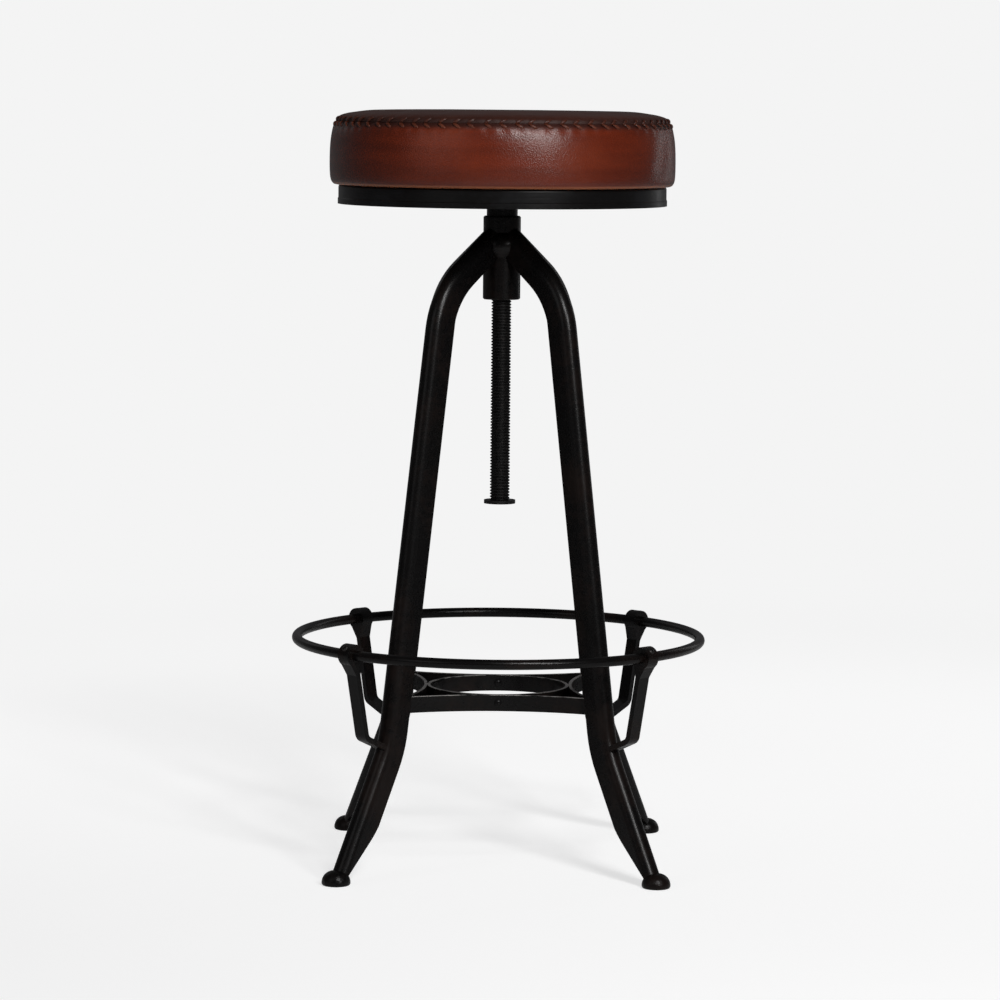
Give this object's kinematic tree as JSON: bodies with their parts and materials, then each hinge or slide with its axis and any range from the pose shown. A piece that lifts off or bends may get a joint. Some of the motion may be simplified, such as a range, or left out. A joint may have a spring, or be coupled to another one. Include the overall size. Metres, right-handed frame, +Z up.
{
  "type": "bar stool",
  "caption": "Backless bar stool with a round laced leather seat on a lift screw, splayed channel-steel legs, a curved strap brace and a round-bar foot ring.",
  "frame": {"origin": "on the screw's axis at floor level", "axes": "+Z up along the lift screw; -Y is the front, towards the picture's camera; legs on the diagonals"},
  "size_m": [0.4169, 0.417, 0.7562],
  "materials": {
    "leather_top": "grained upholstery leather, dark brown, soft sheen",
    "leather_band": "grained upholstery leather, red-brown, soft sheen",
    "foam": "upholstery foam, hidden",
    "plywood": "birch plywood, hidden",
    "pan_steel": "satin black lacquer on pressed steel",
    "frame_steel": "satin black lacquer on pressed steel",
    "brace_steel": "satin black lacquer, worn bright on the edges",
    "footrest_steel": "satin black lacquer on bar",
    "screw_steel": "oiled black steel thread",
    "fastener_steel": "blackened steel",
    "foot_iron": "cast feet under black lacquer"
  },
  "bodies": {
    "stand": {"collar": "frame_steel", "leg_front_left": "frame_steel", "leg_front_right": "frame_steel", "leg_rear_left": "frame_steel", "leg_rear_right": "frame_steel", "foot_front_left": "foot_iron", "foot_front_right": "foot_iron", "foot_rear_left": "foot_iron", "foot_rear_right": "foot_iron", "brace_ring": "brace_steel", "brace_strap_front": "brace_steel", "brace_strap_right": "brace_steel", "brace_strap_rear": "brace_steel", "brace_strap_left": "brace_steel", "brace_rivets": "fastener_steel", "foot_ring": "footrest_steel", "arm_front_left": "footrest_steel", "arm_front_right": "footrest_steel", "arm_rear_left": "footrest_steel", "arm_rear_right": "footrest_steel", "eye_screws": "fastener_steel"},
    "stop": {"stop_washer": "screw_steel"},
    "seat": {"leather_top": "leather_top", "leather_band": "leather_band", "foam_pad": "foam", "seat_board": "plywood", "seat_pan": "pan_steel", "pan_screws": "fastener_steel", "seat_boss": "frame_steel", "lift_screw": "screw_steel", "stop_bolt": "fastener_steel"}
  },
  "joints": [
    {"name": "seat_rise", "type": "slide", "parent": "stand", "child": "stop", "axis": [0, 0, 1], "range_m": [0, 0.201]},
    {"name": "seat_turn", "type": "hinge", "parent": "stop", "child": "seat", "pos_m": [0, 0, 0.3655], "axis": [0, 0, 1], "range_deg": [0, 24120]}
  ],
  "couplings": [
    {"joint": "seat_rise", "follows": "seat_turn", "m_per_rad": 0.00047746}
  ]
}
